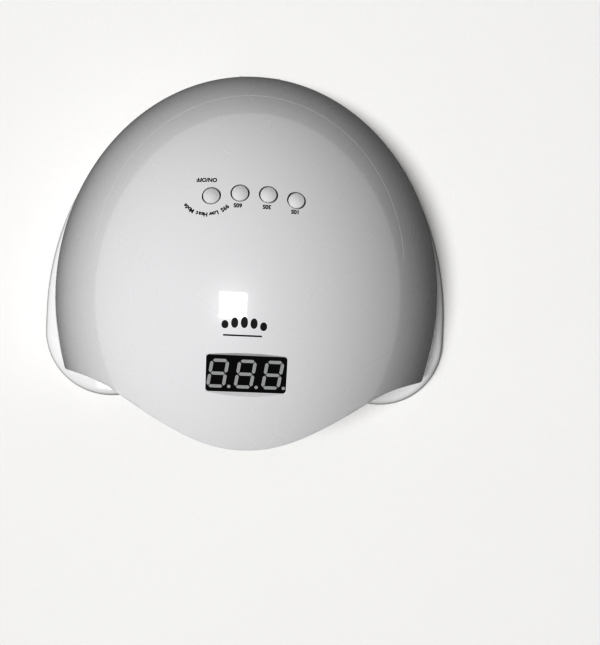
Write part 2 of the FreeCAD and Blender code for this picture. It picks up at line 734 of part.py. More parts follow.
under = -dim("board_thickness")
on_board("controller_chip", (-10, -6, under - 1.8), (-2.4, 4, under))
on_board("power_inductor", (9, -9, under - 4.5), (17, -1, under))
group("driver_transistors", [
    on_board("driver_transistor_%d" % i, (x, 4, under - 1.5), (x + 4, 7, under))
    for i, x in enumerate((10, 16))])
group("filter_capacitors", [
    bound("Cylinder", "filter_capacitor_%d" % i,
          board_frame.multiply(at(x, y, under - 9)), Radius="3", Height="9")
    for i, (x, y) in enumerate(((3, -7.5), (-15, -7.5)))])
group("lead_connectors", [
    on_board("supply_connector", (-4.5, 6, under - 5), (4.5, 11.5, under)),
    on_board("left_led_connector", (-23, 1, under - 5), (-17.5, 7, under)),
    on_board("right_led_connector", (22.5 - 1.2, -3, under - 5), (27.5, 3, under))])
group("board_screws", [
    screw("board_screw_%d" % i,
          board_frame.multiply(at(x, y, under - dim("small_screw_head_height"))),
          "small_screw", "dims.small_screw_length")
    for i, (x, y) in enumerate(BOARD_SCREWS)] + [
    screw("display_screw_%d" % i,
          board_under_display.multiply(at(x, y, under - dim("small_screw_head_height"))),
          "small_screw", "dims.small_screw_length")
    for i, (x, y) in enumerate(DISPLAY_SCREWS)])

# ------------------------------------------------------------------- buttons

switch_bodies = []
for i in range(4):
    frame = button_frame(i)
    local = board_frame.inverse().multVec(frame.Base)
    number = i + 1
    cap_body = bound("Cylinder", "cap_body_%d" % number,
                     frame.multiply(at(0, 0, -dim("button_flange_top") - 0.2)),
                     Radius="dims.button_radius",
                     Height="dims.button_flange_top + 0.2 + dims.button_proud")
    doc.recompute()
    cap_round = doc.addObject("Part::Fillet", "cap_round_%d" % number)
    cap_round.Base = cap_body
    rounding = dim("button_rounding")
    cap_round.Edges = [(k + 1, rounding, rounding)
                       for k, edge in enumerate(cap_body.Shape.Edges)
                       if edge.Closed and frame.inverse().multVec(
                           edge.CenterOfMass).z > 0]
    flange_low = dim("button_flange_top") + dim("button_flange_height")
    flange = bound("Cylinder", "cap_flange_%d" % number,
                   frame.multiply(at(0, 0, -flange_low)),
                   Radius="dims.button_flange_radius", Height="dims.button_flange_height")
    fuse("button_cap_%d" % number, cap_round, flange)
    plunger_low = dim("switch_height") - dim("plunger_entry")
    plunger = bound("Cylinder", "switch_plunger_%d" % number,
                    board_frame.multiply(at(local.x, local.y, plunger_low)),
                    Radius="dims.plunger_radius")
    plunger.Height = local.z - flange_low - plunger_low
    half = dim("switch_side") / 2
    block = bound("Box", "switch_block_%d" % number,
                  board_frame.multiply(at(local.x - half, local.y - half, 0)),
                  Length="dims.switch_side", Width="dims.switch_side",
                  Height="dims.switch_height")
    bore = bound("Cylinder", "switch_bore_%d" % number,
                 board_frame.multiply(at(local.x, local.y, dim("switch_height")
                                         - dim("plunger_bore_depth"))),
                 Radius="dims.plunger_bore", Height="dims.plunger_bore_depth + 1")
    switch_bodies.append(cut("switch_body_%d" % number, block, bore))
group("switch_bodies", switch_bodies)

# -------------------------------------------------------------- supply inlet

axis_z = dim("jack_axis_z")
jack_block = box("jack_block", (-dim("jack_width") / 2, dim("jack_back"), frame_top),
                 (dim("jack_width") / 2, dim("jack_front"),
                  frame_top + dim("jack_height")))
jack_barrel = bound("Cylinder", "jack_barrel", along_y(0, dim("jack_front") - 1, axis_z),
                    Radius="dims.jack_barrel_radius",
                    Height="dims.jack_mouth - dims.jack_front + 1")
jack_bore = bound("Cylinder", "jack_bore", along_y(0, dim("jack_pin_back"), axis_z),
                  Radius="dims.jack_bore_radius", Height="30")
cut("dc_jack", fuse("jack_solid", jack_block, jack_barrel), jack_bore)
bound("Cylinder", "dc_jack_pin", along_y(0, dim("jack_pin_back"), axis_z),
      Radius="dims.jack_pin_radius", Height="dims.jack_front - dims.jack_pin_back"
      " + dims.jack_pin_proud")

# --------------------------------------------------------------------- leads

jack_top = frame_top + dim("jack_height")
for side, word in ((-1, "black"), (1, "red")):
    x = 2.2 * side
    end = board_frame.multVec(Vector(x, 11.5, under - 2.5))
    approach = board_frame.multVec(Vector(x, 26, under - 2.5))
    tube("supply_lead_" + word,
         [Vector(x, 86.5, jack_top), Vector(x, 86.5, 38), Vector(x, 68, 60), approach, end],
         dim("lead_radius"))

led_leads = []
for side, connector in ((-1, Vector(-23, 4, under - 2.5)), (1, Vector(27.5, 0, under - 2.5))):
    position, normal = LEDS["left_upper" if side < 0 else "right_upper"][3]
    start = position + normal * (dim("strip_gap") + dim("strip_thickness") + 0.05)
    end = board_frame.multVec(connector)
    led_leads.append(tube("led_lead_%d" % len(led_leads),
                          [start, start + normal * 12, end + ACROSS * (12 * side), end],
                          dim("lead_radius")))
group("led_leads", led_leads)

ribbon_start = board_under_display.multVec(Vector(0, 12, under / 2))
ribbon_leave = board_under_display.multVec(Vector(0, 24, under / 2))
ribbon_end = board_frame.multVec(Vector(0, -12, under / 2))
ribbon_reach = board_frame.multVec(Vector(0, -24, under / 2))
tube("display_ribbon", [ribbon_start, ribbon_leave, ribbon_reach, ribbon_end],
     dim("ribbon_half_thickness"), dim("ribbon_width"))

# ------------------------------------------------------------ check and save

NODES = (
    ["base_tray", "tray_reflector_sheet", "tray_magnets", "rubber_feet", "top_shell",
     "base_frame", "opening_trim", "inner_reflector", "housing_magnets",
     "housing_screws", "reflector_screws", "board_screws", "led_beads", "led_lenses",
     "sensor_board", "hand_sensors", "display_module", "display_segments",
     "display_board", "display_ribbon", "control_board", "controller_chip",
     "power_inductor", "driver_transistors", "filter_capacitors", "lead_connectors",
     "switch_bodies", "dc_jack", "dc_jack_pin", "supply_lead_black",
     "supply_lead_red", "led_leads"]
    + ["led_strip_" + word for word in STRIP_ZONES]
    + ["button_cap_%d" % number for number in range(1, 5)]
    + ["switch_plunger_%d" % number for number in range(1, 5)])

doc.recompute()
for item in doc.Objects:
    for fault in ("Invalid", "Error"):
        if fault in item.State:
            raise RuntimeError("%s is %s" % (item.Label, fault))

os.makedirs("parts", exist_ok=True)
for label in NODES:
    item = doc.getObjectsByLabel(label)[0]
    if item.Shape.isNull() or not item.Shape.isValid() or not item.Shape.Solids:
        raise RuntimeError("%s has no valid solid" % label)
    item.Shape.exportStep("parts/%s.step" % label)
    print("%-24s %2d solids %9.1f mm3" % (label, len(item.Shape.Solids),
                                          item.Shape.Volume))
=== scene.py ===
import json
import math

import bmesh
import bpy
from bpy.props import FloatProperty, FloatVectorProperty, PointerProperty
from mathutils import Matrix, Vector


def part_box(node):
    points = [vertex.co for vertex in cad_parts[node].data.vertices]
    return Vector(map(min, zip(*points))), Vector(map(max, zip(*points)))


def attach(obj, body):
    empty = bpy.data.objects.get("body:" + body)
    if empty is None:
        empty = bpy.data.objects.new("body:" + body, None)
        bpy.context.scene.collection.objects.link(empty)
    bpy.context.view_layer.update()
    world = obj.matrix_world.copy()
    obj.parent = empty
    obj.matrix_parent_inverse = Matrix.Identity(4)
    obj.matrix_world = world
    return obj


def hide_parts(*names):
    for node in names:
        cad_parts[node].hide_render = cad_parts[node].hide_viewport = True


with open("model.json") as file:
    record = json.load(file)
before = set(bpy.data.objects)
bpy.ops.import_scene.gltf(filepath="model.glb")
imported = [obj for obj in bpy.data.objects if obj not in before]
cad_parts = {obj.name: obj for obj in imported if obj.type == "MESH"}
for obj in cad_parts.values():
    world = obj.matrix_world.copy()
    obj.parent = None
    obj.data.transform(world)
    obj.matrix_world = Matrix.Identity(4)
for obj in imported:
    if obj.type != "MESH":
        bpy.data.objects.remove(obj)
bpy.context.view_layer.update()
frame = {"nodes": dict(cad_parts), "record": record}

bl_info = {
    "name": "UV curing lamp",
    "version": (1, 0, 0),
    "blender": (4, 5, 0),
    "location": "View3D > Sidebar > Curing lamp",
    "description": "Models and finishes a domed lamp that cures resin and gel",
    "category": "Object",
}

# ------------------------------------------------------------------ settings


class LampSizes(bpy.types.PropertyGroup):
    """Sizes of the pieces that are modelled here, in metres."""

    dome_half_width: FloatProperty(
        name="Dome half width", description="Half width of the ellipsoid",
        default=0.111, unit="LENGTH")
    dome_half_length: FloatProperty(
        name="Dome half length", description="Half of the ellipsoid's long axis",
        default=0.1282, unit="LENGTH")
    dome_half_rise: FloatProperty(
        name="Dome half rise", description="Half of the ellipsoid's upright axis",
        default=0.0995, unit="LENGTH")
    dome_centre_y: FloatProperty(
        name="Dome centre", description="Place of the ellipsoid's centre along Y",
        default=-0.0265, unit="LENGTH")
    wall: FloatProperty(
        name="Shell wall", description="Thickness of the shell", default=0.0022,
        unit="LENGTH")
    shell_bottom: FloatProperty(
        name="Shell bottom", description="Height of the shell's lower edge",
        default=0.0095, unit="LENGTH")
    edge_radius: FloatProperty(
        name="Edge radius", description="Rounding of the shell's free edges",
        default=0.0007, unit="LENGTH")
    crease_depth: FloatProperty(
        name="Crease depth", description="Depth of the groove round the crown",
        default=0.00005, unit="LENGTH")
    button_radius: FloatProperty(
        name="Button radius", description="Radius of a button cap", default=0.0039,
        unit="LENGTH")
    button_gap: FloatProperty(
        name="Button gap", description="Gap between a cap and its hole",
        default=0.0005, unit="LENGTH")
    button_proud: FloatProperty(
        name="Button height", description="How far a cap's edge stands off the shell",
        default=0.0005, unit="LENGTH")
    button_crown: FloatProperty(
        name="Button crown", description="Rise of a cap's crowned top",
        default=0.0006, unit="LENGTH")
    legend_height: FloatProperty(
        name="Legend height", description="Letter height of the printed legends",
        default=0.00185, unit="LENGTH")
    print_thickness: FloatProperty(
        name="Print thickness", description="How far printed ink stands off the shell",
        default=0.00004, unit="LENGTH")


class LampColours(bpy.types.PropertyGroup):
    """Colours of the lamp's finishes."""

    shell: FloatVectorProperty(
        name="Shell", description="Glossy moulded shell", subtype="COLOR", size=3,
        min=0, max=1, default=(0.72, 0.72, 0.728))
    tray: FloatVectorProperty(
        name="Tray", description="Glossy moulded tray", subtype="COLOR", size=3,
        min=0, max=1, default=(0.74, 0.74, 0.742))
    buttons: FloatVectorProperty(
        name="Buttons", description="Speckled button caps", subtype="COLOR", size=3,
        min=0, max=1, default=(0.7, 0.7, 0.7))
    ink: FloatVectorProperty(
        name="Ink", description="Printed legends", subtype="COLOR", size=3,
        min=0, max=1, default=(0.012, 0.012, 0.014))
    display: FloatVectorProperty(
        name="Display", description="Face of the display", subtype="COLOR", size=3,
        min=0, max=1, default=(0.012, 0.012, 0.013))
    segments: FloatVectorProperty(
        name="Segments", description="Unlit bars of the digits", subtype="COLOR",
        size=3, min=0, max=1, default=(0.48, 0.485, 0.49))
    floor: FloatVectorProperty(
        name="Floor", description="Plain pale floor", subtype="COLOR", size=3,
        min=0, max=1, default=(0.835, 0.832, 0.826))


class LampStudio(bpy.types.PropertyGroup):
    """Camera and lights."""

    lens: FloatProperty(
        name="Lens", description="Focal length on a 36 mm sensor", default=37.77,
        min=10, max=200)
    key_strength: FloatProperty(
        name="Key light", description="Strength of the large soft light",
        default=3.25, min=0)
    key_softness: FloatProperty(
        name="Key softness", description="Angle over which the large light spreads",
        default=24, min=0, max=90)
    window_power: FloatProperty(
        name="Window", description="Power of the small window-shaped light",
        default=3.2, unit="POWER")
    surroundings: FloatProperty(
        name="Surroundings", description="Strength of the room's even light",
        default=0.07, min=0)
    backdrop: FloatProperty(
        name="Backdrop", description="How bright the room looks and reflects",
        default=0.85, min=0)
    contrast: FloatProperty(
        name="Contrast", description="Gamma of the finished picture", default=0.54,
        min=0.3, max=2)


def sizes():
    return bpy.context.scene.lamp_sizes


def colours():
    return bpy.context.scene.lamp_colours


# ------------------------------------------------------------ shader groups


def new_group(name, inputs, outputs):
    """A node group with a Vector input, then float inputs and float outputs."""
    group = bpy.data.node_groups.new(name, "ShaderNodeTree")
    group.interface.new_socket("Vector", in_out="INPUT", socket_type="NodeSocketVector")
    for label, value in inputs:
        socket = group.interface.new_socket(label, in_out="INPUT",
                                            socket_type="NodeSocketFloat")
        socket.default_value = value
    for label in outputs:
        group.interface.new_socket(label, in_out="OUTPUT", socket_type="NodeSocketFloat")
    source = group.nodes.new("NodeGroupInput")
    sink = group.nodes.new("NodeGroupOutput")
    return group, source, sink


def add_node(tree, kind, links=(), **settings):
    """Add a node, set its properties and link each (input, output socket) pair."""
    node = tree.nodes.new("ShaderNode" + kind)
    for key, value in settings.items():
        setattr(node, key, value)
    for socket, source in links:
        if isinstance(source, bpy.types.NodeSocket):
            tree.links.new(source, node.inputs[socket])
        else:
            node.inputs[socket].default_value = source
    return node


def soft_step(tree, value, low, high):
    """0 under low, 1 over high, smooth between."""
    node = add_node(tree, "MapRange", [("Value", value), ("From Min", low),
                                       ("From Max", high)])
    node.interpolation_type = "SMOOTHSTEP"
    return node.outputs["Result"]


def marks_group():
    """Handling marks: fine scratches, small specks and cloudy wiped areas."""
    group, source, sink = new_group(
        "handling marks", [("Scratch Scale", 60), ("Speck Scale", 300)],
        ["Scratches", "Specks", "Cloud"])
    masks = []
    for turn, stretch in ((0.6, 0.06), (-0.9, 0.09)):
        lined = add_node(group, "Mapping", [("Vector", source.outputs["Vector"]),
                                            ("Rotation", (0, 0, turn)),
                                            ("Scale", (1, stretch, 1))])
        cells = add_node(group, "TexVoronoi", [("Vector", lined.outputs["Vector"]),
                                               ("Scale", source.outputs["Scratch Scale"])],
                         feature="DISTANCE_TO_EDGE")
        line = soft_step(group, cells.outputs["Distance"], 0.012, 0.0)
        where = add_node(group, "TexNoise", [("Vector", source.outputs["Vector"]),
                                             ("Scale", 38 + 20 * turn), ("Detail", 3)])
        patch = soft_step(group, where.outputs["Fac"], 0.6, 0.68)
        both = add_node(group, "Math", [(0, line), (1, patch)], operation="MULTIPLY")
        masks.append(both.outputs["Value"])
    scratches = add_node(group, "Math", [(0, masks[0]), (1, masks[1])],
                         operation="MAXIMUM")
    dots = add_node(group, "TexVoronoi", [("Vector", source.outputs["Vector"]),
                                          ("Scale", source.outputs["Speck Scale"])])
    dot = soft_step(group, dots.outputs["Distance"], 0.09, 0.05)
    rare = add_node(group, "TexNoise", [("Vector", source.outputs["Vector"]),
                                        ("Scale", 90), ("Detail", 1)])
    sparse = soft_step(group, rare.outputs["Fac"], 0.62, 0.7)
    specks = add_node(group, "Math", [(0, dot), (1, sparse)], operation="MULTIPLY")
    wiped = add_node(group, "TexNoise", [("Vector", source.outputs["Vector"]),
                                         ("Scale", 22), ("Detail", 4),
                                         ("Distortion", 0.8)])
    cloud = soft_step(group, wiped.outputs["Fac"], 0.35, 0.75)
    group.links.new(scratches.outputs["Value"], sink.inputs["Scratches"])
    group.links.new(specks.outputs["Value"], sink.inputs["Specks"])
    group.links.new(cloud, sink.inputs["Cloud"])
    return group


def grain_group():
    """Moulding texture: a fine even grain with a little slower waviness."""
    group, source, sink = new_group("moulded grain", [("Scale", 2000)], ["Height"])
    fine = add_node(group, "TexNoise", [("Vector", source.outputs["Vector"]),
                                        ("Scale", source.outputs["Scale"]),
                                        ("Detail", 2)])
    slow = add_node(group, "TexNoise", [("Vector", source.outputs["Vector"]),
                                        ("Scale", 45), ("Detail", 1)])
    both = add_node(group, "Math", [(0, slow.outputs["Fac"]), (1, 0.6),
                                    (2, fine.outputs["Fac"])],
                    operation="MULTIPLY_ADD")
    group.links.new(both.outputs["Value"], sink.inputs["Height"])
    return group


def speckle_group():
    """The pebbled surface of the button caps: small raised dots."""
    group, source, sink = new_group("pebbles", [("Scale", 1500)], ["Height", "Dots"])
    cells = add_node(group, "TexVoronoi", [("Vector", source.outputs["Vector"]),
                                           ("Scale", source.outputs["Scale"]),
                                           ("Randomness", 0.85)])
    dots = soft_step(group, cells.outputs["Distance"], 0.5, 0.2)
    group.links.new(dots, sink.inputs["Height"])
    group.links.new(dots, sink.inputs["Dots"])
    return group


def use_group(tree, name, coordinates, **values):
    node = tree.nodes.new("ShaderNodeGroup")
    node.node_tree = bpy.data.node_groups[name]
    tree.links.new(coordinates, node.inputs["Vector"])
    for label, value in values.items():
        node.inputs[label.replace("_", " ").title()].default_value = value
    return node


# ----------------------------------------------------------------- materials


FINISHES = {}      # every finish under the name of its slot


def start_material(name, colour, roughness, **plain):
    """A Principled material with uniform values set on its own sockets."""
    material = bpy.data.materials.new(name)
    FINISHES[name] = material
    material.use_nodes = True
    tree = material.node_tree
    shader = tree.nodes["Principled BSDF"]
    shader.inputs["Base Color"].default_value = (*colour, 1)
    shader.inputs["Roughness"].default_value = roughness
    for label, value in plain.items():
        shader.inputs[label.replace("_", " ")].default_value = value
    coordinates = add_node(tree, "TexCoord").outputs["Object"]
    material.diffuse_color = (*colour, 1)
    return material, tree, shader, coordinates


def tint(tree, shader, colour, mask, amount, toward):
    """Let a mask pull the base colour towards another colour."""
    scaled = add_node(tree, "Math", [(0, mask), (1, amount)], operation="MULTIPLY")
    mix = add_node(tree, "Mix", data_type="RGBA")
    source = shader.inputs["Base Color"]
    before = source.links[0].from_socket if source.is_linked else None
    tree.links.new(scaled.outputs["Value"], mix.inputs["Factor"])
    if before is None:
        mix.inputs[6].default_value = (*colour, 1)
    else:
        tree.links.new(before, mix.inputs[6])
    mix.inputs[7].default_value = (*toward, 1)
    tree.links.new(mix.outputs[2], source)


def vary_roughness(tree, shader, mask, low, high):
    spread = add_node(tree, "MapRange", [("Value", mask), ("To Min", low),
                                         ("To Max", high)])
    tree.links.new(spread.outputs["Result"], shader.inputs["Roughness"])


def bump(tree, shader, height, distance, strength=1.0):
    node = add_node(tree, "Bump", [("Height", height), ("Distance", distance),
                                   ("Strength", strength)])
    tree.links.new(node.outputs["Normal"], shader.inputs["Normal"])


def glossy_moulding(name, colour, roughness=0.24):
    """Polished white plastic with the marks that handling leaves."""
    material, tree, shader, place = start_material(
        name, colour, roughness, Specular_IOR_Level=0.5, Coat_Weight=1.0,
        Coat_Roughness=0.04, Coat_IOR=1.55)
    wear = use_group(tree, "handling marks", place, scratch_scale=70,
                     speck_scale=420)
    tint(tree, shader, colour, wear.outputs["Specks"], 0.55,
         [part * 0.55 for part in colour])
    tint(tree, shader, colour, wear.outputs["Scratches"], 0.22,
         [min(1, part * 1.2) for part in colour])
    either = add_node(tree, "Math", [(0, wear.outputs["Scratches"]), (1, 0.5),
                                     (2, wear.outputs["Cloud"])],
                      operation="MULTIPLY_ADD")
    vary_roughness(tree, shader, either.outputs["Value"], roughness, roughness + 0.1)
    grain = use_group(tree, "moulded grain", place, scale=900)
    bump(tree, shader, grain.outputs["Height"], 0.000012)
    return material


def satin_moulding(name, colour, roughness=0.45):
    """Fine-textured plastic, as on frames, connectors and housings."""
    material, tree, shader, place = start_material(name, colour, roughness)
    grain = use_group(tree, "moulded grain", place, scale=2600)
    bump(tree, shader, grain.outputs["Height"], 0.00004)
    wear = use_group(tree, "handling marks", place, scratch_scale=140,
                     speck_scale=700)
    vary_roughness(tree, shader, wear.outputs["Cloud"], roughness - 0.06,
                   roughness + 0.1)
    tint(tree, shader, colour, wear.outputs["Specks"], 0.4,
         [part * 0.6 for part in colour])
    return material


def pebbled_cap(name, colour):
    """Button caps with a fine pebbled top."""
    material, tree, shader, place = start_material(name, colour, 0.34,
                                                   Coat_Weight=0.15)
    dots = use_group(tree, "pebbles", place, scale=1700)
    bump(tree, shader, dots.outputs["Height"], 0.00005)
    tint(tree, shader, colour, dots.outputs["Dots"], 0.35, (0.9, 0.9, 0.9))
    vary_roughness(tree, shader, dots.outputs["Dots"], 0.42, 0.26)
    return material


def mirror_film(name, colour):
    """Vacuum-metallised film with faint rolling lines and wiped marks."""
    material, tree, shader, place = start_material(name, colour, 0.08, Metallic=1.0)
    stretched = add_node(tree, "Mapping", [("Vector", place), ("Scale", (1, 0.04, 1))])
    lines = add_node(tree, "TexNoise", [("Vector", stretched.outputs["Vector"]),
                                        ("Scale", 900), ("Detail", 2)])
    wear = use_group(tree, "handling marks", place, scratch_scale=90,
                     speck_scale=500)
    both = add_node(tree, "Math", [(0, lines.outputs["Fac"]), (1, 0.4),
                                   (2, wear.outputs["Cloud"])],
                    operation="MULTIPLY_ADD")
    vary_roughness(tree, shader, both.outputs["Value"], 0.05, 0.2)
    tint(tree, shader, colour, wear.outputs["Scratches"], 0.35, (0.55, 0.55, 0.57))
    bump(tree, shader, lines.outputs["Fac"], 0.000006)
    return material


def plated_metal(name, colour, roughness=0.28):
    """Plated steel with drawn grain."""
    material, tree, shader, place = start_material(name, colour, roughness,
                                                   Metallic=1.0)
    stretched = add_node(tree, "Mapping", [("Vector", place), ("Scale", (1, 1, 0.1))])
    grain = add_node(tree, "TexNoise", [("Vector", stretched.outputs["Vector"]),
                                        ("Scale", 2500), ("Detail", 3)])
    vary_roughness(tree, shader, grain.outputs["Fac"], roughness - 0.1,
                   roughness + 0.16)
    bump(tree, shader, grain.outputs["Fac"], 0.00001)
    return material


def circuit_board(name, colour):
    """Solder mask over copper tracks, with rows of pads."""
    material, tree, shader, place = start_material(name, colour, 0.32,
                                                   Coat_Weight=0.4)
    tracks = add_node(tree, "TexBrick", [("Vector", place), ("Scale", 180.0),
                                         ("Mortar Size", 0.035),
                                         ("Brick Width", 1.4), ("Row Height", 0.35)])
    copper = [min(1, part * 2.2 + 0.02) for part in colour]
    tint(tree, shader, colour, tracks.outputs["Fac"], 0.75, copper)
    pads = add_node(tree, "TexVoronoi", [("Vector", place), ("Scale", 260.0),
                                         ("Randomness", 0.25)])
    pad = soft_step(tree, pads.outputs["Distance"], 0.2, 0.16)
    tint(tree, shader, colour, pad, 0.85, (0.62, 0.6, 0.55))
    bump(tree, shader, tracks.outputs["Fac"], 0.00003)
    return material


def soft_rubber(name, colour, roughness=0.75):
    material, tree, shader, place = start_material(name, colour, roughness,
                                                   Sheen_Weight=0.2)
    grain = use_group(tree, "moulded grain", place, scale=3200)
    bump(tree, shader, grain.outputs["Height"], 0.00006)
    wear = use_group(tree, "handling marks", place, scratch_scale=120,
                     speck_scale=600)
    tint(tree, shader, colour, wear.outputs["Cloud"], 0.25,
         [min(1, part * 1.8 + 0.02) for part in colour])
    return material


def clear_lens(name, colour):
    """Silicone dome over the light-emitting chip."""
    material, tree, shader, place = start_material(
        name, colour, 0.08, Transmission_Weight=0.85, IOR=1.41)
    haze = add_node(tree, "TexNoise", [("Vector", place), ("Scale", 1400.0)])
    bump(tree, shader, haze.outputs["Fac"], 0.00001)
    return material


def amber_film(name, colour):
    """Flexible polyimide ribbon with parallel tracks."""
    material, tree, shader, place = start_material(name, colour, 0.28,
                                                   Coat_Weight=0.3)
    tracks = add_node(tree, "TexWave", [("Vector", place), ("Scale", 130.0)],
                      bands_direction="X")
    track = soft_step(tree, tracks.outputs["Fac"], 0.45, 0.6)
    tint(tree, shader, colour, track, 0.6, (0.75, 0.42, 0.16))
    bump(tree, shader, track, 0.00003)
    return material


def display_face(name, colour):
    """Printed black face, slightly dusty."""
    material, tree, shader, place = start_material(name, colour, 0.42,
                                                   Specular_IOR_Level=0.2)
    wear = use_group(tree, "handling marks", place, scratch_scale=200,
                     speck_scale=900)
    tint(tree, shader, colour, wear.outputs["Specks"], 0.6, (0.2, 0.2, 0.2))
    vary_roughness(tree, shader, wear.outputs["Cloud"], 0.32, 0.5)
    grain = use_group(tree, "moulded grain", place, scale=4200)
    bump(tree, shader, grain.outputs["Height"], 0.00002)
    return material


def diffusing_segment(name, colour):
    """Milky resin that fills each bar of a digit."""
    material, tree, shader, place = start_material(name, colour, 0.4)
    cloud = add_node(tree, "TexNoise", [("Vector", place), ("Scale", 900.0),
                                        ("Detail", 2)])
    tint(tree, shader, colour, cloud.outputs["Fac"], 0.5, (0.28, 0.285, 0.28))
    bump(tree, shader, cloud.outputs["Fac"], 0.00002)
    return material


def printed_ink(name, colour):
    material, tree, shader, place = start_material(name, colour, 0.38)
    patchy = add_node(tree, "TexNoise", [("Vector", place), ("Scale", 2600.0)])
    tint(tree, shader, colour, patchy.outputs["Fac"], 0.35, (0.05, 0.05, 0.055))
    return material


def floor_surface(name, colour):
    """A pale table top with the faintest mottling, that throws little light back."""
    material, tree, shader, place = start_material(name, colour, 0.62)
    mottle = add_node(tree, "TexNoise", [("Vector", place), ("Scale", 9.0),
                                         ("Detail", 5)])
    tint(tree, shader, colour, mottle.outputs["Fac"], 0.25,
         [part * 0.95 for part in colour])
    fine = add_node(tree, "TexNoise", [("Vector", place), ("Scale", 700.0)])
    bump(tree, shader, fine.outputs["Fac"], 0.00006)
    seen = add_node(tree, "LightPath").outputs["Is Camera Ray"]
    unseen = add_node(tree, "Math", [(0, 1.0), (1, seen)], operation="SUBTRACT")
    tint(tree, shader, colour, unseen.outputs["Value"], 1.0,
         [part * 0.25 for part in colour])
    return material


def make_finishes():
    """Make a finish for every slot, and one for the printed ink."""
    pick = colours()
    marks_group()
    grain_group()
    speckle_group()
    glossy_moulding("shell_white", pick.shell)
    glossy_moulding("tray_white", pick.tray, 0.28)
    satin_moulding("frame_white", (0.6, 0.6, 0.59))
    mirror_film("mirror_film", (0.86, 0.87, 0.9))
    soft_rubber("foot_rubber", (0.09, 0.09, 0.095))
    plated_metal("magnet_nickel", (0.72, 0.7, 0.67), 0.22)
    plated_metal("screw_steel", (0.6, 0.6, 0.61))
    satin_moulding("strip_white", (0.8, 0.8, 0.78), 0.4)
    satin_moulding("led_body", (0.86, 0.84, 0.76), 0.35)
    clear_lens("led_lens", (0.88, 0.84, 0.97))
    circuit_board("board_green", (0.012, 0.1, 0.035))
    satin_moulding("chip_black", (0.02, 0.02, 0.022), 0.5)
    plated_metal("capacitor_can", (0.55, 0.57, 0.62), 0.35)
    satin_moulding("connector_cream", (0.74, 0.68, 0.5))
    display_face("display_black", pick.display)
    diffusing_segment("segment_grey", pick.segments)
    amber_film("ribbon_amber", (0.38, 0.13, 0.015))
    pebbled_cap("button_grey", pick.buttons)
    satin_moulding("plunger_black", (0.03, 0.03, 0.03))
    satin_moulding("jack_black", (0.02, 0.02, 0.022), 0.42)
    plated_metal("pin_nickel", (0.75, 0.73, 0.68), 0.2)
    soft_rubber("lead_black", (0.015, 0.015, 0.016), 0.5)
    soft_rubber("lead_red", (0.42, 0.012, 0.01), 0.5)
    printed_ink("ink", pick.ink)


def dress(piece, slot):
    """Give a piece the finish of one slot and nothing else."""
    piece.data.materials.clear()
    piece.data.materials.append(FINISHES[slot])


# ------------------------------------------------------------- mesh helpers


def add_primitive(kind, name, **settings):
    bpy.ops.object.select_all(action="DESELECT")
    getattr(bpy.ops.mesh, "primitive_%s_add" % kind)(**settings)
    piece = bpy.context.active_object
    piece.name = name
    piece.data.name = name
    return piece


def select_only(*pieces):
    bpy.ops.object.select_all(action="DESELECT")
    for piece in pieces:
        piece.select_set(True)
    bpy.context.view_layer.objects.active = pieces[0]


def settle(piece, matrix=None):
    """Apply a place so that the object itself ends at the origin."""
    if matrix is not None:
        piece.matrix_world = matrix
    select_only(piece)
    bpy.context.view_layer.update()
    bpy.ops.object.transform_apply(location=True, rotation=True, scale=True)


def apply_modifier(piece, kind, **settings):
    modifier = piece.modifiers.new(kind.lower(), kind)
    for key, value in settings.items():
        setattr(modifier, key, value)
    select_only(piece)
    bpy.ops.object.modifier_apply(modifier=modifier.name)


def carve(piece, cutter):
    """Take the cutter's space out of a piece, then throw the cutter away."""
    apply_modifier(piece, "BOOLEAN", object=cutter, operation="DIFFERENCE",
                   solver="EXACT")
    bpy.data.objects.remove(cutter)


def edit_edges(piece, wanted, action):
    """Select the edges that pass a test, then run an edit-mode action."""
    select_only(piece)
    bpy.ops.object.mode_set(mode="EDIT")
    bpy.ops.mesh.select_mode(type="EDGE")
    mesh = bmesh.from_edit_mesh(piece.data)
    for edge in mesh.edges:
        edge.select = wanted(edge)
    mesh.select_flush_mode()
    bmesh.update_edit_mesh(piece.data)
    action()
    bpy.ops.object.mode_set(mode="OBJECT")


def join(name, pieces):
    select_only(*pieces)
    bpy.ops.object.join()
    pieces[0].name = name
    pieces[0].data.name = name
    return pieces[0]


def smooth(piece, degrees=32):
    select_only(piece)
    bpy.ops.object.shade_smooth_by_angle(angle=math.radians(degrees))


def outward(piece):
    select_only(piece)
    bpy.ops.object.mode_set(mode="EDIT")
    bpy.ops.mesh.select_all(action="SELECT")
    bpy.ops.mesh.remove_doubles(threshold=0.000001)
    bpy.ops.mesh.normals_make_consistent(inside=False)
    bpy.ops.object.mode_set(mode="OBJECT")


def finish_piece(piece, body, slot, replaced):
    """Dress a modelled piece, put it on its body and let it stand for a node."""
    dress(piece, slot)
    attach(piece, body)
    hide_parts(replaced)


# -------------------------------------------------------------- dome geometry


def dome_matrix(inset=0.0):
    """Turns a unit sphere with poles on Z into the dome with poles on X."""
    size = sizes()
    spread = Matrix.Diagonal((size.dome_half_width - inset,
                              size.dome_half_length - inset,
                              size.dome_half_rise - inset, 1))
    return (Matrix.Translation((0, size.dome_centre_y, 0))
            @ spread
            @ Matrix.Rotation(math.pi / 2, 4, "Y"))


def dome_height(x, y):
    """Height of the dome's outer surface above a point of the plan."""
    size = sizes()
    across = x / size.dome_half_width
    along = (y - size.dome_centre_y) / size.dome_half_length
    return size.dome_half_rise * math.sqrt(1 - across ** 2 - along ** 2)


def dome_normal(x, y):
    """Unit vector straight out of the dome above a point of the plan."""
    size = sizes()
    return Vector((x / size.dome_half_width ** 2,
                   (y - size.dome_centre_y) / size.dome_half_length ** 2,
                   dome_height(x, y) / size.dome_half_rise ** 2)).normalized()


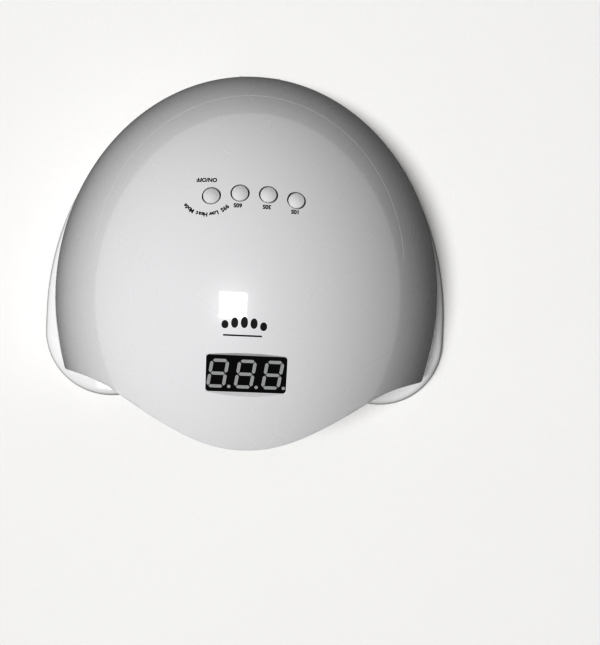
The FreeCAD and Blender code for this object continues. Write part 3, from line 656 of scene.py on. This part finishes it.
def dome_blank(name, inset):
    blank = add_primitive("uv_sphere", name, segments=224, ring_count=132, radius=1)
    settle(blank, dome_matrix(inset))
    return blank


# ------------------------------------------------------------------ the shell

# The front edge seen from the side, climbing from the tray and sweeping forward
# into the visor. Each point is a Y and a Z in metres.
VISOR_PROFILE = [(-0.0696, -0.01), (-0.0701, 0.03), (-0.071, 0.0565), (-0.0728, 0.0645),
                 (-0.0756, 0.0698), (-0.08, 0.0737), (-0.085, 0.0765), (-0.092, 0.0789),
                 (-0.1025, 0.0801), (-0.135, 0.0806), (-0.26, 0.0806)]


def opening_cutter():
    """Everything in front of and under the visor's edge, as one solid."""
    bpy.ops.object.select_all(action="DESELECT")
    bpy.ops.curve.primitive_bezier_curve_add()
    path = bpy.context.active_object
    spline = path.data.splines[0]
    spline.bezier_points.add(len(VISOR_PROFILE) - 2)
    for point, (y, z) in zip(spline.bezier_points, VISOR_PROFILE):
        point.co = (-0.15, y, z)
        point.handle_left_type = point.handle_right_type = "AUTO"
    spline.resolution_u = 18
    path.data.dimensions = "3D"
    bpy.ops.object.convert(target="MESH")
    cutter = bpy.context.active_object
    settle(cutter)
    bpy.ops.object.mode_set(mode="EDIT")
    bpy.ops.mesh.select_all(action="SELECT")
    bpy.ops.mesh.extrude_region_move(TRANSFORM_OT_translate={"value": (0.3, 0, 0)})
    bpy.ops.mesh.select_all(action="SELECT")
    bpy.ops.mesh.extrude_region_move(TRANSFORM_OT_translate={"value": (0, 0, -0.16)})
    bpy.ops.object.mode_set(mode="OBJECT")
    outward(cutter)
    return cutter


def box_cutter(low, high, matrix=None):
    low, high = Vector(low), Vector(high)
    cutter = add_primitive("cube", "cutter", size=1)
    place = Matrix.Translation((low + high) / 2) @ Matrix.Diagonal((*(high - low), 1))
    settle(cutter, place if matrix is None else matrix @ place)
    return cutter


def on_dome(x, y, rise=0.0):
    """A place on the dome: local Z straight out, local Y up the slope to the rear."""
    normal = dome_normal(x, y)
    turn = normal.to_track_quat("Z", "Y").to_matrix().to_4x4()
    side = Vector((1, 0, 0)) - normal * normal.x
    turn.col[0] = (*side.normalized(), 0)
    turn.col[1] = (*normal.cross(side).normalized(), 0)
    return Matrix.Translation(Vector((x, y, dome_height(x, y))) + normal * rise) @ turn


def display_matrix():
    """Frame of the display's face, local Z out of the shell."""
    depth = 0.00175      # from the shell's surface down to the face
    low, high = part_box("display_segments")
    y = (low.y + high.y) / 2
    return on_dome(0, y + depth * dome_normal(0, y).y, -depth)


def window_cutter():
    """Straight shaft for the display, flared by sloped upper and lower walls."""
    place = display_matrix()
    half_width, half_length = 0.0186, 0.0088
    corner_radius, reach, flare = 0.0013, 0.012, 0.0068
    shaft = box_cutter((-half_width, -half_length, -reach),
                       (half_width, half_length, reach), place)
    upright = place.to_3x3() @ Vector((0, 0, 1))
    edit_edges(shaft, lambda edge: abs((edge.verts[0].co - edge.verts[1].co)
                                       .normalized().dot(upright)) > 0.99,
               lambda: bpy.ops.mesh.bevel(offset=corner_radius, segments=6))
    mouth = box_cutter((-half_width, -half_length, -0.00015),
                       (half_width, half_length, 0.006), place)
    inverse = place.inverted()
    for vertex in mouth.data.vertices:
        local = inverse @ vertex.co
        if local.z > 0.003:
            local.y += math.copysign(flare, local.y)
            vertex.co = place @ local
    return shaft, mouth


def crease_ring():
    """The band of material that the fine groove round the crown takes away."""
    size = sizes()
    groove_width, fall_angle = 0.0006, -6.8
    fall = (Matrix.Translation((0, -0.006, 0.070))
            @ Matrix.Rotation(math.radians(fall_angle), 4, "X"))
    ring = box_cutter((-0.13, 0, 0), (0.13, 0.13, groove_width), fall)
    carve(ring, dome_blank("groove_floor", size.crease_depth))
    return ring


def button_matrix(number):
    """A button's place: on the dome's surface, local Z along its travel."""
    joint = next(joint for joint in frame["record"]["behaviour"]["joints"]
                 if joint["name"] == "button_%d_press" % number)
    travel = -Vector(joint["axis"])
    low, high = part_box("switch_plunger_%d" % number)
    middle = (low + high) / 2
    x, y = middle.x, middle.y
    for _ in range(20):
        y = middle.y + (dome_height(x, y) - middle.z) * travel.y / travel.z
    turn = Matrix.Rotation(math.atan2(-travel.y, travel.z), 4, "X")
    return Matrix.Translation((x, y, dome_height(x, y))) @ turn


class CURING_OT_shell(bpy.types.Operator):
    """Model the domed shell with its openings and rounded edges"""

    bl_idname = "curing.shell"
    bl_label = "Shell"

    def execute(self, context):
        size = sizes()
        shell = dome_blank("outer_shell", 0)
        carve(shell, dome_blank("dome_inside", size.wall))
        carve(shell, box_cutter((-0.2, -0.2, -0.2), (0.2, 0.2, size.shell_bottom)))
        carve(shell, opening_cutter())
        edit_edges(shell, lambda edge: len(edge.link_faces) == 2
                   and edge.calc_face_angle(0) > 0.6, lambda: bpy.ops.mesh.bevel(
            offset=size.edge_radius, segments=3, clamp_overlap=True))
        for cutter in window_cutter():
            carve(shell, cutter)
        half_notch, notch_top = 0.0123, 0.022
        carve(shell, box_cutter((-half_notch, 0.08, 0), (half_notch, 0.13, notch_top)))
        for number in range(1, 5):
            hole = add_primitive("cylinder", "button_hole", vertices=64,
                                 radius=size.button_radius + size.button_gap,
                                 depth=0.014)
            settle(hole, button_matrix(number))
            carve(shell, hole)
        carve(shell, crease_ring())
        smooth(shell, 35)
        finish_piece(shell, "housing", "shell_white", "top_shell")
        return {"FINISHED"}


# ------------------------------------------------------------------ buttons


def built_in_rings(name, rings, place):
    """A round solid grown ring by ring; each ring is a radius and a height."""
    radius, height = rings[0]
    piece = add_primitive("circle", name, vertices=72, radius=radius,
                          fill_type="NGON", location=(0, 0, height))
    settle(piece)
    bpy.ops.object.mode_set(mode="EDIT")
    bpy.ops.mesh.select_all(action="SELECT")
    for next_radius, next_height in rings[1:]:
        bpy.ops.mesh.extrude_region_move(
            TRANSFORM_OT_translate={"value": (0, 0, next_height - height)})
        factor = next_radius / radius
        bpy.ops.transform.resize(value=(factor, factor, 1),
                                 center_override=(0, 0, next_height))
        radius, height = next_radius, next_height
    bpy.ops.object.mode_set(mode="OBJECT")
    outward(piece)
    settle(piece, place)
    return piece


class CURING_OT_buttons(bpy.types.Operator):
    """Model the four crowned caps, each with the flange that keeps it in its hole"""

    bl_idname = "curing.buttons"
    bl_label = "Button caps"

    def execute(self, context):
        size = sizes()
        radius, crown = size.button_radius, size.button_crown
        flange_radius, flange_low, flange_high = 0.005, -0.0044, -0.0036
        shoulder, shoulder_steps, crown_steps = 0.0006, 6, 9
        rim = size.button_proud - 0.0003
        rings = [(flange_radius, flange_low), (flange_radius, flange_high),
                 (radius, flange_high), (radius, rim - shoulder)]
        for step in range(1, shoulder_steps + 1):
            angle = math.pi / 2 * step / shoulder_steps
            rings.append((radius - shoulder * (1 - math.cos(angle)),
                          rim - shoulder * (1 - math.sin(angle))))
        for step in range(1, crown_steps):
            share = 1 - step / crown_steps
            rings.append(((radius - shoulder) * share,
                          rim + crown * (1 - share ** 2)))
        for number in range(1, 5):
            cap = built_in_rings("cap_%d" % number, rings, button_matrix(number))
            smooth(cap, 40)
            finish_piece(cap, "button_%d" % number, "button_grey",
                         "button_cap_%d" % number)
        return {"FINISHED"}


# ------------------------------------------------------------------- printing


def laid_on_dome(piece, stand_off):
    """Drop a flat drawing onto the dome and give it the thickness of ink."""
    for vertex in piece.data.vertices:
        x, y, _ = vertex.co
        normal = dome_normal(x, y)
        vertex.co = Vector((x, y, dome_height(x, y))) + normal * stand_off
    apply_modifier(piece, "SOLIDIFY", thickness=stand_off * 2, offset=-1)


def lettering(words, height):
    """Flat, slightly bold letters as a mesh, centred on the origin."""
    capital_share = 0.7      # height of a capital letter in a font of size 1
    bpy.ops.object.select_all(action="DESELECT")
    bpy.ops.object.text_add()
    text = bpy.context.active_object
    text.data.body = words
    text.data.size = height / capital_share
    text.data.offset = height * 0.035
    text.data.align_x = "CENTER"
    text.data.align_y = "CENTER"
    bpy.ops.object.convert(target="MESH")
    return bpy.context.active_object


def printed(name, piece):
    """Finish a flat drawing as ink on the shell."""
    laid_on_dome(piece, sizes().print_thickness)
    piece.name = name
    piece.data.name = name
    dress(piece, "ink")
    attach(piece, "housing")


class CURING_OT_legends(bpy.types.Operator):
    """Print the button legends, which read from behind the lamp"""

    bl_idname = "curing.legends"
    bl_label = "Legends"

    def execute(self, context):
        size = sizes()
        half_turn = Matrix.Rotation(math.pi, 4, "Z")
        legends = [("on_off", "ON/OFF", 1, (-0.0026, 0.0078)),
                   ("sixty", "60S", 2, (-0.0007, -0.006)),
                   ("thirty", "30S", 3, (-0.0005, -0.006)),
                   ("ten", "10S", 4, (-0.0004, -0.0056))]
        for name, words, number, (shift_x, shift_y) in legends:
            centre = button_matrix(number).translation
            piece = lettering(words, size.legend_height)
            settle(piece, Matrix.Translation((centre.x + shift_x, centre.y + shift_y, 0))
                   @ half_turn)
            printed("legend_" + name, piece)
        centre = button_matrix(1).translation + Vector((-0.0022, 0.0041, 0))
        radius, half_sweep = 0.0132, 47
        words = "99S Low Heat Mode"
        letters = []
        for place, letter in enumerate(words):
            if letter == " ":
                continue
            angle = math.radians(half_sweep * (2 * place / (len(words) - 1) - 1))
            piece = lettering(letter, size.legend_height)
            turn = Matrix.Rotation(math.pi - angle, 4, "Z")
            settle(piece, Matrix.Translation((centre.x, centre.y, 0)) @ turn
                   @ Matrix.Translation((0, radius, 0)))
            letters.append(piece)
        printed("legend_low_heat", join("legend_low_heat", letters))
        return {"FINISHED"}


class CURING_OT_emblem(bpy.types.Operator):
    """Print a plain row of fingernail shapes over a thin line"""

    bl_idname = "curing.emblem"
    bl_label = "Emblem"

    def execute(self, context):
        row_x, row_y, pitch, half_width = -0.0019, -0.0405, 0.0044, 0.0015
        flare = 40      # how much a nail widens towards its root
        shapes = ((0.0036, 0.0012), (0.0046, 0.0003), (0.005, 0), (0.0046, 0.0004),
                  (0.0038, 0.0016))      # each nail's length, and its drop in the row
        nails = []
        for place, (length, drop) in enumerate(shapes):
            nail = add_primitive("circle", "nail", vertices=40, radius=1,
                                 fill_type="NGON")
            x, y = row_x + (place - 2) * pitch, row_y - drop
            settle(nail, Matrix.Translation((x, y, 0))
                   @ Matrix.Diagonal((half_width, length / 2, 1, 1)))
            for vertex in nail.data.vertices:
                local = vertex.co.y - y
                if local < 0:
                    vertex.co.x = x + (vertex.co.x - x) * (1 - local * flare)
            nails.append(nail)
        bar = add_primitive("plane", "line", size=1)
        settle(bar, Matrix.Translation((-0.0025, -0.0466, 0))
               @ Matrix.Diagonal((0.0176, 0.0006, 1, 1)))
        bpy.ops.object.mode_set(mode="EDIT")
        bpy.ops.mesh.subdivide(number_cuts=8)
        bpy.ops.object.mode_set(mode="OBJECT")
        nails.append(bar)
        printed("emblem", join("emblem", nails))
        return {"FINISHED"}


# ------------------------------------------------------- finishes and stage


class CURING_OT_finishes(bpy.types.Operator):
    """Make every material and dress the pieces that come from the frame"""

    bl_idname = "curing.finishes"
    bl_label = "Finishes"

    def execute(self, context):
        make_finishes()
        for entry in frame["record"]["subparts"]:
            dress(frame["nodes"][entry["node"]], entry["material_slot"])
        return {"FINISHED"}


def add_light(name, kind, place, target, energy):
    """A light aimed at a place without a turn about its own axis."""
    bpy.ops.object.light_add(type=kind, location=place)
    light = bpy.context.active_object
    light.name = name
    light.data.energy = energy
    line = (Vector(target) - light.location).normalized()
    light.rotation_euler = (math.asin(line.y), math.atan2(-line.x, -line.z), 0)
    return light


class CURING_OT_stage(bpy.types.Operator):
    """Lay the floor, place the camera and light the lamp"""

    bl_idname = "curing.stage"
    bl_label = "Stage"

    def execute(self, context):
        scene = context.scene
        studio = scene.lamp_studio
        floor = add_primitive("plane", "floor", size=6)
        floor.data.materials.append(floor_surface("floor", colours().floor))

        view = Matrix(((0.99637, -0.04399, -0.07287), (0.04424, 0.99902, 0.00184),
                       (0.07272, -0.00506, 0.99734)))
        bpy.ops.object.camera_add(location=(0.00086, -0.03888, 0.40783))
        camera = context.active_object
        camera.rotation_euler = view.to_euler()
        camera.data.sensor_width = 36
        camera.data.lens = studio.lens
        camera.data.clip_start = 0.01
        scene.camera = camera

        key = add_light("key", "SUN", (-1.075, -0.329, 2.782), (0, 0, 0.03),
                        studio.key_strength)
        key.data.angle = math.radians(studio.key_softness)
        key.visible_glossy = False
        window = add_light("window", "AREA", (-0.238, -0.128, 1.68), (0, -0.03, 0.1),
                           studio.window_power)
        window.data.shape = "RECTANGLE"
        window.data.size = 0.4
        window.data.size_y = 0.3
        world = bpy.data.worlds.new("room")
        world.use_nodes = True
        tree = world.node_tree
        background = tree.nodes["Background"]
        background.inputs["Color"].default_value = (1, 0.99, 0.98, 1)
        ray = add_node(tree, "LightPath")
        either = add_node(tree, "Math", [(0, ray.outputs["Is Camera Ray"]),
                                         (1, ray.outputs["Is Glossy Ray"])],
                          operation="MAXIMUM")
        level = add_node(tree, "MapRange", [("Value", either.outputs["Value"]),
                                            ("To Min", studio.surroundings),
                                            ("To Max", studio.backdrop)])
        tree.links.new(level.outputs["Result"], background.inputs["Strength"])
        scene.world = world
        scene.view_settings.view_transform = "Standard"
        scene.view_settings.gamma = studio.contrast
        return {"FINISHED"}


class CURING_PT_panel(bpy.types.Panel):
    """Sidebar panel with the lamp's settings and steps"""

    bl_idname = "CURING_PT_panel"
    bl_label = "Curing lamp"
    bl_space_type = "VIEW_3D"
    bl_region_type = "UI"
    bl_category = "Curing lamp"

    def draw(self, context):
        for operator in OPERATORS:
            self.layout.operator(operator.bl_idname)
        for group in (context.scene.lamp_sizes, context.scene.lamp_colours,
                      context.scene.lamp_studio):
            column = self.layout.column()
            for key in group.bl_rna.properties.keys():
                if key not in {"rna_type", "name"}:
                    column.prop(group, key)


OPERATORS = (CURING_OT_finishes, CURING_OT_shell, CURING_OT_buttons,
             CURING_OT_legends, CURING_OT_emblem, CURING_OT_stage)
GROUPS = {"lamp_sizes": LampSizes, "lamp_colours": LampColours,
          "lamp_studio": LampStudio}


def register():
    for cls in (*GROUPS.values(), *OPERATORS, CURING_PT_panel):
        bpy.utils.register_class(cls)
    for key, cls in GROUPS.items():
        setattr(bpy.types.Scene, key, PointerProperty(type=cls))


def unregister():
    for key in GROUPS:
        delattr(bpy.types.Scene, key)
    for cls in (CURING_PT_panel, *reversed(OPERATORS), *GROUPS.values()):
        bpy.utils.unregister_class(cls)


def main():
    register()
    for operator in OPERATORS:
        area, step = operator.bl_idname.split(".")
        getattr(getattr(bpy.ops, area), step)()


if __name__ == "__main__":
    main()
